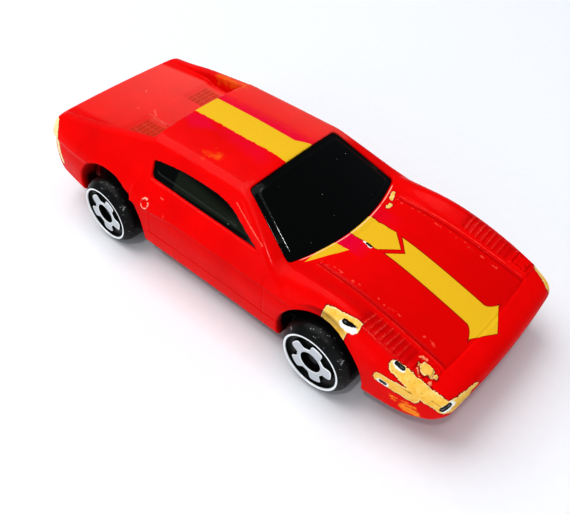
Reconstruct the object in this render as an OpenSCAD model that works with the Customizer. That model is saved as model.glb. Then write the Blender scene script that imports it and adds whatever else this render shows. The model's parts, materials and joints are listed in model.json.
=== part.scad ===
// Small diecast two-seat mid-engined coupe, about 1:57 scale.
// +X is forward, +Z is up, millimetres.
// The origin is on the ground, under the middle of the car.

/* [Body] */
// Length over nose and tail
body_len = 74; // [70:0.5:78]
// Widest place across the painted casting
body_w = 30.2; // [29:0.1:31]
// Height of the roof above the ground
roof_h = 19.5; // [19:0.1:20]
// Wall thickness of the casting
wall = 1.2; // [0.9:0.1:1.3]

/* [Glass] */
// Rake of the windscreen above the horizontal
screen_rake = 28.4; // [26:0.2:30]
// Thickness of the glazing moulding
glass_t = 0.9; // [0.7:0.1:1]

/* [Wheels] */
// Distance from front axle to rear axle
wheelbase = 40.6; // [39:0.2:42]
// Front axle's distance ahead of the origin
front_axle_x = 18.8; // [18:0.1:19.5]
// Rolling radius
wheel_r = 5.3; // [5:0.1:5.5]
// Width of a wheel
wheel_w = 4.1; // [3.8:0.1:4.3]
// Distance between the outer faces of the wheels
track_out = 32.2; // [31.8:0.1:32.6]
// Number of lobes on the wheel's star
lobes = 5; // [5:1:6]

/* [Axles] */
// Radius of the axle wire
axle_r = 0.5; // [0.4:0.05:0.55]
// Running clearance round the wire
axle_gap = 0.05; // [0.03:0.01:0.08]

/* [Base] */
// Underside of the base plate above the ground
base_z = 3.4; // [3.2:0.1:3.6]
// Thickness of the base plate
base_t = 1.2; // [1:0.1:1.3]
// Front rivet's distance ahead of the origin
front_post_x = 27.4; // [27:0.2:28]
// Rear rivet's distance behind the origin
rear_post_x = 30.2; // [30:0.2:31]

/* [Hidden] */
$fn = 48;

half = body_w / 2;
rear_axle_x = front_axle_x - wheelbase;
base_top = base_z + base_t;
slip = 0.1;              // assembly gap between flat fixed faces
far = 200;               // larger than the whole car
paint_red = "#e01010";
plastic_black = "#141414";
steel_grey = "#9a9a9a";

// ---- lower body: a skin over cross-sections whose sizes follow smooth curves ----
nose_bow = 1.5;          // the middle of the nose is this far ahead of its corners
tail_bow = 0.5;
nose_x = body_len / 2 - nose_bow;
tail_x = tail_bow - body_len / 2;
crease_z = 8.5;          // height of the widest line along the side

// Half width, top height and bottom height along the car
plan = [[tail_x, half - 3.0], [-35.6, half - 1.9], [-34, half - 1.1], [-30, half - 0.4], [-22, half],
        [-10, half - 0.15], [2, half - 0.2], [12, half - 0.1], [19, half], [26, half - 0.4],
        [31, half - 1.2], [33.6, half - 2.1], [34.9, half - 2.9], [nose_x, half - 4.2]];
top_z = [[tail_x, 12.9], [-35.6, 13.5], [-34, 13.7], [-20, 13.7], [-12, 13.4], [0, 13.3], [12, 13.2],
         [19, 13.0], [24, 12.2], [29, 11.1], [33, 10.0], [34.5, 9.4], [35.2, 8.9], [nose_x, 8.3]];
low_z = [[tail_x, 8.2], [-35.9, 6.8], [-34, 6.1], [-31, 5.6], [-27, 4.8], [-16, 3.9], [13, 3.9], [25, 4.8],
         [31, 5.2], [34, 5.6], [35, 6.3], [nose_x, 7.3]];

function seg(t, x, i = 0) = i >= len(t) - 2 || x < t[i + 1][0] ? i : seg(t, x, i + 1);
function rise(t, a, b) = (t[b][1] - t[a][1]) / (t[b][0] - t[a][0]);
function slope(t, i) = rise(t, max(i - 1, 0), min(i + 1, len(t) - 1));
// Smooth cubic through the knots of t
function curve(t, x) =
    let (i = seg(t, x), h = t[i + 1][0] - t[i][0], s = (x - t[i][0]) / h)
    (2*s*s*s - 3*s*s + 1) * t[i][1] + (s*s*s - 2*s*s + s) * h * slope(t, i)
    + (3*s*s - 2*s*s*s) * t[i + 1][1] + (s*s*s - s*s) * h * slope(t, i + 1);
function ease(a) = let (s = min(max(a, 0), 1)) s * s * (3 - 2 * s);
function bow(x, y) = (1 - pow(y / 13, 2)) * (nose_bow * ease((x - 25) / 10.5) - tail_bow * ease((-x - 28) / 8));

// How far the side has leant in from the crease, at height z
function tuck(z) = z > crease_z ? 1.5 * pow((z - crease_z) / 5, 2) : 0.8 * pow((crease_z - z) / 4.7, 2);
// Low crest along the top of each front wing
function crest(x, y) = 0.5 * exp(-pow((x - 19) / 7, 2)) * exp(-pow((y - 11.8) / 1.6, 2));

side_steps = 5;
across = [1, 0.95, 0.88, 0.8, 0.7, 0.5, 0.25, 0];
edge_r = 1.1;            // rounding between side and top
top_crown = 0.3;
// One half of the cross-section at x, from the middle of the bottom to the middle of the top
function half_ring(x, inset, low) =
    let (zt = curve(top_z, x) - inset, zb = low < 0 ? curve(low_z, x) : low, e = min(edge_r, 0.4 * (zt - zb)),
         z1 = zt - e, ys = function (z) curve(plan, x) - tuck(z) - inset, y1 = ys(z1))
    concat([[0, zb]],
           [for (j = [0:side_steps]) let (z = zb + (z1 - zb) * j / side_steps) [ys(z), z]],
           [[y1 - 0.3 * e, z1 + 0.7 * e]],
           [for (k = across) let (y = (y1 - e) * k) [y, zt + top_crown * (1 - k * k) + crest(x, y)]]);
function ring(x, inset, low) =
    let (h = half_ring(x, inset, low), n = len(h))
    concat([for (p = h) [x + bow(x, p[0]), p[0], p[1]]],
           [for (i = [n - 2:-1:1]) [x + bow(x, h[i][0]), -h[i][0], h[i][1]]]);

module loft(xs, inset, low = -1) {
    rings = [for (x = xs) ring(x, inset, low)];
    n = len(rings[0]);
    m = len(xs);
    last = (m - 1) * n;
    points = [for (r = rings) for (p = r) p];
    walls = [for (i = [0:m - 2]) for (j = [0:n - 1])
             let (a = i * n + j, b = i * n + (j + 1) % n, c = a + n, d = b + n)
             each [[a, c, d], [a, d, b]]];
    near_cap = [for (j = [0:n / 2 - 1]) let (q = (n - j) % n) [j, j + 1, n - j - 1, q]];
    far_cap = [for (j = [0:n / 2 - 1]) let (q = (n - j) % n) [last + q, last + n - j - 1, last + j + 1, last + j]];
    polyhedron(points, concat(walls, near_cap, far_cap), convexity = 6);
}

outer_xs = [tail_x, -36.1, -35.2, -33.6, -31, -28, -24, -20, -15, -9, -3, 3, 9, 13, 16, 19, 22, 25, 28, 31, 33,
            34.2, 35, nose_x];
inner_xs = [-34.6, -32, -27, -20, -12, 0, 12, 18, 24, 29, 33];

// ---- cabin ----
roof_r = 66;             // crown of the roof, across
screen_r = 56;           // bend of the windscreen, across
screen_mid = [7.5, 0, 16.4];
belt_y = 13.45;          // half width of the cabin at the height belt_z
belt_z = 13.2;
lean = 34.5;             // angle of the cabin's side from the vertical
cabin_back = -15.9;      // rear edge of the roof
ridge_drop = 11.2;       // slope of the sail panels' ridges
ridge_z = 18.35;         // height of the ridges where the roof ends

// Everything inboard of the two leaning sides
module between_sides(inset) {
    intersection_for (s = [-1, 1])
        translate([0, s * belt_y, belt_z]) rotate([s * lean, 0, 0])
            translate([0, -s * (far / 2 + inset), 0]) cube(far, center = true);
}
module screen_frame() translate(screen_mid) rotate([0, screen_rake - 90, 0]) children();

// Roof, windscreen, sides and upright back
module cabin(inset, low) {
    intersection() {
        between_sides(inset);
        translate([0, 0, roof_h - roof_r]) rotate([0, 90, 0])
            cylinder(r = roof_r - inset, h = far, center = true, $fn = 128);
        screen_frame() translate([-screen_r, 0, 0])
            cylinder(r = screen_r - inset, h = far, center = true, $fn = 128);
        translate([cabin_back + inset, -half, low]) cube([40, body_w, 12]);
    }
}

// Solid of the sail panels and the deck between them, before the deck is sunk
module tail_top() {
    intersection() {
        between_sides(0);
        translate([cabin_back, 0, ridge_z]) rotate([0, -ridge_drop, 0])
            translate([-far / 2 + 3, 0, -far / 2]) cube([far, body_w, far], center = true);
        linear_extrude(30) polygon([[cabin_back + 0.5, -half], [cabin_back + 0.5, half], [-30, half - 0.6],
                                    [-34, half - 1.6], [-35.7, half - 2.9], [-36.3, half - 6], [-36.5, 0],
                                    [-36.3, 6 - half], [-35.7, 2.9 - half], [-34, 1.6 - half], [-30, 0.6 - half]]);
        translate([-38, -half, 11.5]) cube([60, body_w, 12]);
    }
}

// The sunken deck between the sail panels
deck_z = 15;
deck_step_x = -25;
module deck_cut() {
    intersection() {
        rotate([90, 0, 0]) linear_extrude(far, center = true)
            polygon([[cabin_back - 0.01, 25], [cabin_back - 0.01, deck_z], [deck_step_x, deck_z],
                     [deck_step_x - 0.5, deck_z + 0.7], [-35.4, 14.45], [-38, 14.3], [-38, 25]]);
        linear_extrude(30) polygon([[cabin_back, -8.6], [cabin_back, 8.6], [-37.5, 11.1], [-37.5, -11.1]]);
    }
}
hump_y = 3.3;
module deck_hump() {
    translate([deck_step_x - 0.3, -hump_y, 12.6]) cube([cabin_back - deck_step_x + 0.6, 2 * hump_y, 3.2]);
}
module deck_vents() {
    for (s = [-1, 1]) for (x = [-23.4:0.9:-19.8])
        translate([x, s * 5.9, deck_z]) cube([0.4, 4.4, 0.7], center = true);
}

// ---- openings ----
function about(p, c, k) = [for (q = p) c + k * (q - c)];
screen_outline = concat([[8.5, 6.2], [-8.5, 6.2]], [for (a = [180:15:360]) [11.1 * cos(a), 2.1 * sin(a) - 3.9]]);
module screen_prism(k) {
    screen_frame() rotate([90, 0, 90]) translate([0, 0, -4]) linear_extrude(9)
        polygon(about(screen_outline, [0, 0], k));
}
side_outline = [[-13.7, 14.4], [-14.4, 15.3], [-14.2, 16.3], [-9.3, 16.9], [-5.4, 17.05], [-1.5, 16.95],
                [0.8, 16.55], [2.9, 15.6], [7, 14.05], [-3.7, 14.15]];
module side_prisms(k) {
    difference() {
        rotate([90, 0, 0]) linear_extrude(far, center = true) polygon(about(side_outline, [-5, 15.4], k));
        translate([0, 0, 15]) cube([60, 16, 12], center = true);
    }
}
back_outline = [[-7, 16.3], [7, 16.3], [6.3, 17.7], [-6.3, 17.7]];
module back_prism(k) {
    translate([cabin_back - 1, 0, 0]) rotate([90, 0, 90]) linear_extrude(4)
        polygon(about(back_outline, [0, 17], k));
}

arch_r = 6.9;
arch_depth = 11.2;       // arches are cut outboard of this half width
module wheel_arches() {
    for (x = [front_axle_x, rear_axle_x]) for (s = [-1, 1])
        translate([x, s * arch_depth, wheel_r + 0.2]) rotate([-s * 90, 0, 0]) cylinder(r = arch_r, h = 8);
}

// ---- surface detail of the casting ----
groove_w = 0.25;
groove_d = 0.2;
module panel_lines() {
    intersection() {
        union() {
            for (s = [-1, 1]) {
                // edges of the front lid
                translate([33, s * 9.5, 12]) rotate([0, 0, s * 2]) translate([-19.2, -groove_w / 2, 0])
                    cube([19.2, groove_w, 4]);
                // shut lines of the doors
                translate([9.4, s * 14, 5]) cube([groove_w, 5, 16], center = true);
                translate([-12.6, s * 14, 5]) cube([groove_w, 5, 15.4], center = true);
            }
            translate([33, 0, 12]) cube([groove_w, 19, 8], center = true);
        }
        difference() {
            translate([-40, -20, 4.8]) cube([80, 40, 9]);
            loft(outer_xs, groove_d, 2);
        }
    }
}
module louvres() {
    for (s = [-1, 1]) for (i = [0:8])
        translate([23 + i * 0.8, s * 11.3, 12.72 - i * 0.2]) rotate([0, 13, 0]) cube([0.35, 3.2, 0.5], center = true);
}
module lamp_covers() {
    for (s = [-1, 1]) translate([31.6, s * 11.4, 9.9]) rotate([0, 17, 0]) {
        translate([0, 0, 0.42]) cube([2.6, 2.6, 0.5], center = true);
        cylinder(r = 0.9, h = 0.95);
    }
}
lamp_z = 11.4;
module tail_recesses() {
    for (y = [5.3, 8.6]) for (s = [-1, 1])
        translate([-38, s * y, lamp_z]) rotate([0, 90, 0]) cylinder(r = 1.25, h = 1.9 - y * y / 400);
    translate([-38, -3, 7.9]) cube([1.6, 6, 2.6]);
}
module fuel_cap() {
    translate([-13.2, -13.3, 12]) rotate([90, 0, 0]) difference() {
        cylinder(r = 0.95, h = 1.1);
        translate([0, 0, 0.9]) cylinder(r = 0.6, h = 1);
    }
}

// ---- body shell ----
post_r = 1.9;
spigot_r = 1.1;
spigot_z = base_z + 0.75;
rivet_bore_r = 0.7;
module post(x, top) {
    translate([x, 0, base_top]) cylinder(r = post_r, h = top - base_top);
    translate([x, 0, spigot_z]) cylinder(r = spigot_r, h = 3);
}

module body_shell() color(paint_red) difference() {
    union() {
        difference() {
            union() {
                difference() {
                    union() {
                        loft(outer_xs, 0);
                        cabin(0, 12);
                        tail_top();
                    }
                    deck_cut();
                }
                deck_hump();
                lamp_covers();
                fuel_cap();
            }
            loft(inner_xs, wall, 1);
            cabin(wall, 11);
            wheel_arches();
            screen_prism(1);
            side_prisms(1);
            back_prism(1);
            panel_lines();
            louvres();
            deck_vents();
            tail_recesses();
        }
        post(front_post_x, 10.9);
        post(-rear_post_x, 13);
    }
    for (x = [front_post_x, -rear_post_x])
        translate([x, 0, 0]) cylinder(r = rivet_bore_r, h = base_top + 2.4);
}

// ---- base ----
bearing_y = 10.8;        // middle of each axle bearing
bearing_w = 1.8;
counter_r = 2.1;         // recess for the rivet's head
base_half_outline = [[32.6, 0], [32.6, 6], [31.6, 9.6], [29.4, 11.4], [26.4, 11.7], [26.4, 11.4], [11.2, 11.4],
                     [11.2, 12.7], [-14, 12.7], [-14, 11.4], [-29.4, 11.4], [-29.4, 11.8], [-32.4, 11.2],
                     [-34, 9.6], [-34.4, 6], [-34.4, 0]];
module base_plate() {
    intersection() {
        linear_extrude(20) for (s = [0, 1]) mirror([0, s]) polygon(base_half_outline);
        rotate([90, 0, 0]) linear_extrude(40, center = true)
            polygon([[-34.5, base_z + 1.7], [-33, base_z], [30, base_z], [32.7, base_z + 1.7],
                     [32.7, base_top + 1.2], [30.4, base_top], [-33, base_top], [-34.5, base_top + 1.2]]);
    }
}
module bearing(x, s) {
    translate([x - 1.6, s * bearing_y - bearing_w / 2, base_top - 0.1]) cube([3.2, bearing_w, 1.5]);
}
module axle_slot(x) {
    slot_r = axle_r + axle_gap;
    translate([x, 0, wheel_r]) rotate([90, 0, 0]) cylinder(r = slot_r, h = 25, center = true);
    translate([x - slot_r, -12.5, wheel_r]) cube([2 * slot_r, 25, 5]);
}
module chassis_base() color(plastic_black) difference() {
    union() {
        base_plate();
        for (x = [front_axle_x, rear_axle_x]) for (s = [-1, 1]) bearing(x, s);
    }
    for (x = [front_axle_x, rear_axle_x]) axle_slot(x);
    for (x = [front_post_x, -rear_post_x]) translate([x, 0, base_z - 1]) {
        cylinder(r = spigot_r + slip, h = 10);
        cylinder(r = counter_r, h = 1 + 0.75);
    }
}

// ---- glazing: one moulding that plugs every window from the inside ----
glass_gap = 0.15;
glass_low = 12.1;
module window_insert() color(plastic_black) difference() {
    union() {
        cabin(wall + glass_gap, glass_low);
        intersection() {
            cabin(0.2, glass_low);
            union() {
                screen_prism(0.985);
                side_prisms(0.98);
                back_prism(0.95);
            }
        }
    }
    cabin(wall + glass_gap + glass_t, glass_low - 1);
}

// ---- interior: floor, seats, dash and the legs that hold the axles down ----
tub_z = 6.9;
tub_front = 12.4;
tub_back = -14.4;
tub_half = 12.2;
tub_wall = 0.8;
keeper_z = wheel_r + axle_r + axle_gap;
seat_side = [[0, 0], [0, 1.6], [-0.4, 2.1], [-4.4, 2.3], [-5.6, 4.9], [-6.6, 4.9], [-6, 2], [-5.6, 0]];
module seat(y) {
    translate([-1.2, y + 2.3, tub_z + 0.5]) rotate([90, 0, 0]) linear_extrude(4.6) polygon(seat_side);
}
module steering() {
    translate([3.6, 5, tub_z + 3.9]) rotate([0, 115, 0]) {
        difference() {
            cylinder(r = 1.6, h = 0.45, center = true);
            cylinder(r = 1.1, h = 1, center = true);
        }
        cube([0.5, 2.8, 0.45], center = true);
        cylinder(r = 0.35, h = 6.5);
    }
}
module keeper(x) {
    for (s = [-1, 1]) translate([x - 1.4, s * bearing_y - 0.6, keeper_z]) cube([2.8, 1.2, tub_z + 0.2 - keeper_z]);
}
module interior_tub() color(plastic_black) {
    difference() {
        translate([tub_back, -tub_half, tub_z]) cube([tub_front - tub_back, 2 * tub_half, 5.1]);
        translate([tub_back + tub_wall, tub_wall - tub_half, tub_z + tub_wall])
            cube([tub_front - tub_back - 2 * tub_wall, 2 * (tub_half - tub_wall), 10]);
    }
    translate([tub_back - 9, -11.4, tub_z]) cube([9.2, 22.8, tub_wall]);
    translate([tub_front - 0.2, -11.4, tub_z]) cube([8.2, 22.8, tub_wall]);
    keeper(front_axle_x);
    keeper(rear_axle_x);
    for (s = [-1, 1]) seat(s * 5);
    translate([-9, -1.4, tub_z + 0.5]) cube([17, 2.8, 1.9]);
    translate([tub_front - 0.5, tub_half - 0.5, tub_z + 0.5]) rotate([90, 0, 0]) linear_extrude(2 * tub_half - 1)
        polygon([[0, 0], [-2.6, 0.6], [-4.6, 3.2], [-4.2, 4.3], [0, 4.5]]);
    steering();
}

// ---- axles and wheels ----
head_r = 0.95;
head_t = 0.3;
hub_sink = 0.85;         // depth of the recess in the middle of the wheel's face
axle_len = track_out - 2 * (hub_sink - head_t - 0.05);
module axle(x) color(steel_grey) translate([x, 0, wheel_r]) rotate([90, 0, 0]) {
    cylinder(r = axle_r, h = axle_len - head_t, center = true);
    for (s = [0, 1]) mirror([0, 0, s]) translate([0, 0, axle_len / 2 - head_t])
        rotate_extrude() polygon([[0, 0], [head_r, 0], [head_r, head_t / 2], [0.7 * head_r, head_t], [0, head_t]]);
}

rim_in = 4.05;
rim_out = 4.6;
face_sink = 0.5;
star_in = 2.55;
star_out = 3.75;
function star_r(a) = star_in + (star_out - star_in) / (1 + exp(-6 * (cos(lobes * a) + 0.15)));
module wheel(x, side) color(plastic_black)
    translate([x, side * track_out / 2, wheel_r]) rotate([side * 90, 0, 0]) difference() {
        union() {
            rotate_extrude() polygon([
                [0, face_sink], [rim_in, face_sink], [rim_in, 0], [rim_out, 0], [4.85, 0.12], [5.15, 0.5],
                [wheel_r, 1], [wheel_r, wheel_w - 0.3], [wheel_r - 0.3, wheel_w], [4.5, wheel_w],
                [4.3, 2.2], [1.6, 2.2], [1.5, wheel_w - 0.2], [0, wheel_w - 0.2]]);
            translate([0, 0, 0.08]) linear_extrude(0.6)
                polygon([for (a = [0:6:354]) star_r(a) * [cos(a), sin(a)]]);
        }
        translate([0, 0, -1]) cylinder(r = 1.35, h = 1 + hub_sink);
        translate([0, 0, -1]) cylinder(r = axle_r + axle_gap, h = 10);
    }

// ---- rivets ----
module rivet(x) color(steel_grey) translate([x, 0, base_z + 0.1]) {
    cylinder(r = 1.8, h = 0.6);
    cylinder(r = rivet_bore_r - 0.05, h = 2.8);
}

body_shell();
chassis_base();
window_insert();
interior_tub();
axle(front_axle_x);  // front_axle
axle(rear_axle_x);  // rear_axle
wheel(front_axle_x, 1);  // wheel_front_left
wheel(front_axle_x, -1);  // wheel_front_right
wheel(rear_axle_x, 1);  // wheel_rear_left
wheel(rear_axle_x, -1);  // wheel_rear_right
rivet(front_post_x);  // rivet_front
rivet(-rear_post_x);  // rivet_rear
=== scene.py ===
"""Diecast toy coupe: detailed castings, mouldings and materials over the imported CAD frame.

Shapes are signed distance fields in millimetres: negative inside, positive outside.
"""
import json
import math

import bpy
import numpy as np
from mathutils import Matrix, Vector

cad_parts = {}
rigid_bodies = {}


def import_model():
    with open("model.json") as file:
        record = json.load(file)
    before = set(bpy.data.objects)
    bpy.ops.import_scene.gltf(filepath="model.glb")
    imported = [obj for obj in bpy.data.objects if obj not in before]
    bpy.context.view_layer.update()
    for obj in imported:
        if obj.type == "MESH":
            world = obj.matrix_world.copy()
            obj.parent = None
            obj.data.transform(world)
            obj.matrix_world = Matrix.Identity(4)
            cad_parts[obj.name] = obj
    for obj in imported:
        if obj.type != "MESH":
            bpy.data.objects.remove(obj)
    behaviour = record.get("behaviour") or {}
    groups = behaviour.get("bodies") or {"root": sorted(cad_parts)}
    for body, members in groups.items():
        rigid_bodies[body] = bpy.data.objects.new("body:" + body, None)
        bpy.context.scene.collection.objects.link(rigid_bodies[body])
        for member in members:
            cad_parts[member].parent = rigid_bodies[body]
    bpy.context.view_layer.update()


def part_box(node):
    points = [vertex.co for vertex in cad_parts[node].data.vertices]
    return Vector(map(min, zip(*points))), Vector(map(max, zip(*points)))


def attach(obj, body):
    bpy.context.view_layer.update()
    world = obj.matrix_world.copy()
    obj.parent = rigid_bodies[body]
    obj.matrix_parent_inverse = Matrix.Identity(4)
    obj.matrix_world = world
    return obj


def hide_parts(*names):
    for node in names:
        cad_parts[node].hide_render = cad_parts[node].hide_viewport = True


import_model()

import openvdb
from mathutils import Matrix, Vector

MM = 0.001


def node_box(node):
    """Lowest and highest corner of a CAD node, in millimetres."""
    low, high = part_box(node)
    return np.array(low) / MM, np.array(high) / MM


# ---------------------------------------------------------------- sizes that come from the frame

FRONT_AXLE = np.mean(node_box("front_axle"), axis=0)
REAR_AXLE = np.mean(node_box("rear_axle"), axis=0)
WHEEL_LOW, WHEEL_HIGH = node_box("wheel_front_left")
WHEEL_R = (WHEEL_HIGH[0] - WHEEL_LOW[0]) / 2
WHEEL_W = WHEEL_HIGH[1] - WHEEL_LOW[1]
WHEEL_FACE = WHEEL_HIGH[1]
ROOF = node_box("body_shell")[1][2]
NOSE = node_box("body_shell")[1][0]
TAIL = node_box("body_shell")[0][0]
HALF = node_box("body_shell")[1][1]
BASE_LOW, BASE_HIGH = node_box("chassis_base")

# ---------------------------------------------------------------- field helpers


def smax(a, b, k):
    """Maximum of two fields with its corner rounded over a width k."""
    h = np.clip(0.5 + 0.5 * (a - b) / k, 0, 1)
    return b + (a - b) * h + k * h * (1 - h)


def smin(a, b, k):
    return -smax(-a, -b, k)


def ease(a):
    s = np.clip(a, 0, 1)
    return s * s * (3 - 2 * s)


def ridge(distance, width):
    """1 on a line, falling smoothly to 0 at the given distance from it."""
    return ease(1 - np.abs(distance) / width)


def within(value, low, high, soft=0.15):
    """1 between low and high, with soft ends."""
    return ease((value - low) / soft + 0.5) * ease((high - value) / soft + 0.5)


def curve(*knots):
    """A smooth cubic through (position, value) knots, as a table for at()."""
    t, v = np.array(knots, dtype=float).T
    rise = np.diff(v) / np.diff(t)
    slope = np.concatenate([rise[:1], (v[2:] - v[:-2]) / (t[2:] - t[:-2]), rise[-1:]])
    x = np.linspace(t[0], t[-1], 500)
    i = np.clip(np.searchsorted(t, x, side="right") - 1, 0, len(t) - 2)
    h = t[i + 1] - t[i]
    s = (x - t[i]) / h
    y = ((2 * s**3 - 3 * s**2 + 1) * v[i] + (s**3 - 2 * s**2 + s) * h * slope[i]
         + (3 * s**2 - 2 * s**3) * v[i + 1] + (s**3 - s**2) * h * slope[i + 1])
    return x, y


def at(table, x):
    return np.interp(x, *table)


# ---------------------------------------------------------------- painted casting

WALL = 1.2
NOSE_BOW = 0.65          # how far the middle of the nose bulges, and the middle of the tail
TAIL_BOW = 0.3
NOSE_SET = 1.0           # the nose's corners lie this far behind the CAD nose
CREASE_Z = 8.5           # height at which the flanks are widest

# half width, top edge and lower edge of the lower body along the car
PLAN = curve((TAIL + 0.3, HALF - 1.3), (-35.6, HALF - 1.0), (-34, HALF - 0.7), (-30, HALF - 0.3), (-22, HALF),
             (-10, HALF - 0.15), (2, HALF - 0.2), (12, HALF - 0.1), (19, HALF), (26, HALF - 0.3),
             (31, HALF - 0.9), (33.6, HALF - 1.5), (34.9, HALF - 1.9), (35.9, HALF - 2.3))
TOP = curve((TAIL, 13.7), (-34, 13.75), (-20, 13.7), (-12, 13.4), (0, 13.3), (12, 13.25), (19, 13.0),
            (24, 12.25), (29, 11.15), (33, 10.05), (35, 9.35), (36, 8.9))
LOW = curve((TAIL, 5.3), (-31, 4.8), (-27, 4.1), (-16, 3.1), (13, 3.1), (25, 3.85), (31, 3.85),
            (34, 4.8), (35, 5.5), (36, 6.4))


def station(x, a):
    """Position along the car with the bow of both ends taken out; a is the distance from the middle."""
    spread = 1 - (a / 13) ** 2
    s = x
    for _ in range(2):
        s = x - spread * (NOSE_BOW * ease((s - 25) / 10.5) - TAIL_BOW * ease((-s - 28) / 8))
    return s


def tail_plane(s):
    """Distance behind the tail."""
    return (TAIL + TAIL_BOW) - s


def lower_body(x, a, z):
    """Body up to the belt line: flanks, wings with a crest over each front wheel, nose and tail."""
    s = station(x, a)
    tuck = np.where(z > CREASE_Z, 1.5 * ((z - CREASE_Z) / 5) ** 2, 0.2 * ((CREASE_Z - z) / 4.7) ** 2)
    side = 0.97 * (a - at(PLAN, s) + tuck)
    crown = 0.3 * (1 - (a / 12.5) ** 2)
    crest = 1.0 * np.exp(-((x - 20.5) / 8.2) ** 2 - ((a - 12.2) / 1.8) ** 2)
    top = 0.97 * (z - at(TOP, s) - crown - crest)
    under = at(LOW, s) - z
    nose = s - (NOSE - NOSE_SET) + 0.25 * np.maximum(z - 8.1, 0) ** 2 + 0.12 * np.maximum(8 - z, 0) ** 2
    tail = tail_plane(s) + 0.05 * np.maximum(9.5 - z, 0) ** 1.5 + 0.12 * np.maximum(z - 12.6, 0) ** 2
    ends = smax(nose, tail, 0.5)
    return smax(smax(side, top, 2.1), smax(under, ends, 0.8), 1.0)


# the cabin's side leans in from the belt line
BELT_Y, BELT_Z, LEAN = 13.45, 13.2, math.radians(34.5)
# roof and windscreen are bowed across the car, by these radii
ROOF_R, SCREEN_R = 78.0, 56.0
# a point on the windscreen's slope
SCREEN_X, SCREEN_Z, RAKE = 7.5, 16.4, math.radians(28.4)
# the sail panels' ridges fall from here to the tail
CABIN_BACK, RIDGE_Z, RIDGE_DROP = -15.9, 18.35, math.radians(11.2)


def cabin_side(x, a, z):
    """Leaning side, drawn in towards the tail."""
    taper = 0.75 * ease((-x - 25) / 11)
    return (a - BELT_Y + taper) * math.cos(LEAN) + (z - BELT_Z) * math.sin(LEAN)


def screen_frame(x, z):
    """Height above the windscreen's plane, and distance up its slope."""
    out = (x - SCREEN_X) * math.sin(RAKE) + (z - SCREEN_Z) * math.cos(RAKE)
    up = (z - SCREEN_Z) * math.sin(RAKE) - (x - SCREEN_X) * math.cos(RAKE)
    return out, up


def cabin(x, y, z):
    """Roof, windscreen and sides, as one solid down to the lower body."""
    a = np.abs(y)
    roof = np.hypot(y, z - ROOF + ROOF_R) - ROOF_R + 0.0012 * (x + 7) ** 2
    out, _ = screen_frame(x, z)
    screen = np.hypot(out + SCREEN_R, y) - SCREEN_R
    shape = smax(cabin_side(x, a, z), roof, 0.9)
    shape = smax(shape, screen, 0.6)
    return smax(shape, np.maximum(CABIN_BACK - x, 11 - z), 0.3)


SCREEN_UP = 6.3          # the windscreen's upper edge, measured up the slope


def screen_opening(y, up):
    """Outline of the windscreen on its own slope, with a bowed lower edge."""
    side = (np.abs(y) - 8.6 - (SCREEN_UP - up) * 0.253) * 0.97
    low = -4.2 - 1.97 * (1 - (y / 11.3) ** 2) - up
    return smax(smax(side, up - SCREEN_UP, 0.7), low, 0.5)


SIDE_TOP = curve((-16, 16.1), (-14.3, 16.45), (-9.3, 16.95), (-5.4, 17.05), (-1.5, 16.9), (0.8, 16.45),
                 (2.9, 15.6), (5, 14.7), (7.1, 13.85), (9, 13.0))


def side_opening(x, z):
    """Outline of a side window, seen from the side."""
    top = (z - at(SIDE_TOP, x)) * (1 - 0.12 * ease((x - 1) / 2))
    low = 14.35 - 0.02 * (x + 13.7) - z
    rear = -14.0 - 0.3 * (z - 15) - x
    return smax(smax(top, low, 0.25), rear, 0.6)


def back_opening(y, z):
    """Outline of the small rear window, seen from behind."""
    return smax(np.abs(y) - 6.8 + (z - 16.5) * 0.4, np.abs(z - 17) - 0.65, 0.4)


def openings(x, y, z):
    """Where the glazing shows: windscreen, both side windows and the small rear window."""
    out, up = screen_frame(x, z)
    front = np.maximum(screen_opening(y, up), np.abs(out) - 3.2)
    sides = np.maximum(side_opening(x, z), 7.5 - np.abs(y))
    back = np.maximum(back_opening(y, z), np.abs(x - CABIN_BACK) - 2)
    return np.minimum(np.minimum(front, sides), back)


def tail_top(x, a, z):
    """Sail panels and the deck between them, before the deck is sunk."""
    ridges = (z - RIDGE_Z - (x - CABIN_BACK) * math.tan(RIDGE_DROP)) * math.cos(RIDGE_DROP)
    shape = smax(cabin_side(x, a, z), ridges, 0.5)
    ends = np.maximum(x - CABIN_BACK - 1.5, 12 - z)
    s = station(x, a)
    tail = tail_plane(s) + 0.25 + 0.3 * np.maximum(z - 13.2, 0) ** 2
    corner = a - at(PLAN, s) + 0.8 + 0.35 * (z - 12)
    return smax(smax(shape, np.maximum(tail, corner), 0.9), ends, 0.2)


DECK_STEP, DECK_Z = -25.0, 15.1
DECK = curve((-38, 14.35), (-35.5, 14.45), (-30, 15.0), (-26.6, 15.35), (-25.2, 15.4), (-24.2, DECK_Z),
             (-20, DECK_Z), (-15, DECK_Z))
HUMP_Z, HUMP_HALF = 15.65, 3.4
HUMP = (DECK[0], np.maximum(DECK[1], HUMP_Z * (DECK[0] > DECK_STEP)))


def deck_cut(x, a, z):
    """The well between the sail panels; its floor steps down at the vents beside the hump."""
    floor = np.where(a < HUMP_HALF, at(HUMP, x), at(DECK, x)) - z
    walls = a - 8.7 - (CABIN_BACK - x) * 0.115 + (z - 17) * -0.12
    return smax(smax(floor, walls, 0.25), x - CABIN_BACK, 0.25)


def lid_edge(x):
    """Half width of the front lid, for arrays and for shader numbers."""
    return 8.5 + (x - 13.2) * 0.033


LOUVRE_X, LOUVRE_PITCH = 22.9, 0.84
LAMP_X, LAMP_Y = 31.55, 11.4


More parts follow.
